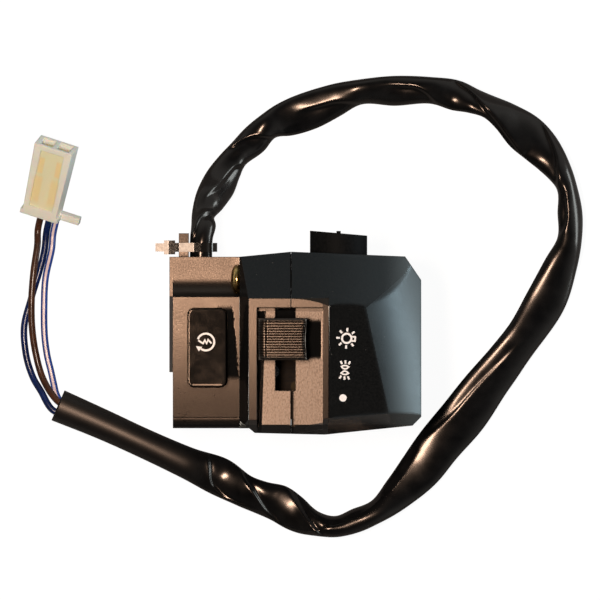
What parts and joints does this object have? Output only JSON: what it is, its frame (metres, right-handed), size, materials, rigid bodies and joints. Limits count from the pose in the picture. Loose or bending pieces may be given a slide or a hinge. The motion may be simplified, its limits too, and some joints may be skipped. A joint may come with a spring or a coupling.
{
  "type": "handlebar switch cluster",
  "caption": "Motorbike handlebar switch cluster with start button, light slider, split bar clamp and sleeved lead to a small plug.",
  "frame": {"origin": "on the bar's axis, midway along the housing's clamp bore", "axes": "+Y along the bar towards the cable end, +Z out of the front face with the slider, +X from the button side to the lamp side"},
  "size_m": [0.1591, 0.1305, 0.0573],
  "materials": {
    "housing_black": "fine spark-eroded matte",
    "button_gloss": "gloss",
    "knob_black": "satin",
    "plug_rubber": "matte",
    "brass": "satin",
    "contact_copper": "satin",
    "spring_steel": "satin",
    "board_brown": "matte",
    "carriage_black": "matte",
    "tie_black": "satin",
    "sleeve_black": "gloss",
    "wire_brown": "satin",
    "wire_blue": "satin",
    "wire_striped": "satin",
    "connector_ivory": "satin translucent"
  },
  "bodies": {
    "housing": {"button_half": "housing_black", "lamp_half": "housing_black", "end_plug": "plug_rubber", "clamp_screws": "brass", "thread_inserts": "brass", "start_contact_base": "board_brown", "start_fixed_contacts": "contact_copper", "slider_contact_board": "board_brown", "slider_fixed_contacts": "contact_copper", "board_screws": "spring_steel", "inner_leads": "wire_blue", "cable_tie": "tie_black", "cable_sleeve": "sleeve_black", "wire_brown": "wire_brown", "wire_blue": "wire_blue", "wire_striped": "wire_striped", "connector_housing": "connector_ivory", "connector_terminals": "brass"},
    "start_plunger": {"start_button": "button_gloss", "start_contact_bridge": "contact_copper", "start_return_spring": "spring_steel"},
    "light_slider": {"slider_knob": "knob_black", "slider_carriage": "carriage_black", "detent_ball": "spring_steel", "detent_spring": "spring_steel", "slider_contact_bridge": "contact_copper", "slider_contact_spring": "spring_steel"}
  },
  "joints": [
    {"name": "start_press", "type": "slide", "parent": "housing", "child": "start_plunger", "axis": [0, 0, -1], "range_m": [0, 0.0025], "stiffness_N_per_m": 1200, "springref_m": -0.002, "deforming": ["start_return_spring"]},
    {"name": "light_slide", "type": "slide", "parent": "housing", "child": "light_slider", "axis": [0, -1, 0], "range_m": [0, 0.0166]}
  ]
}
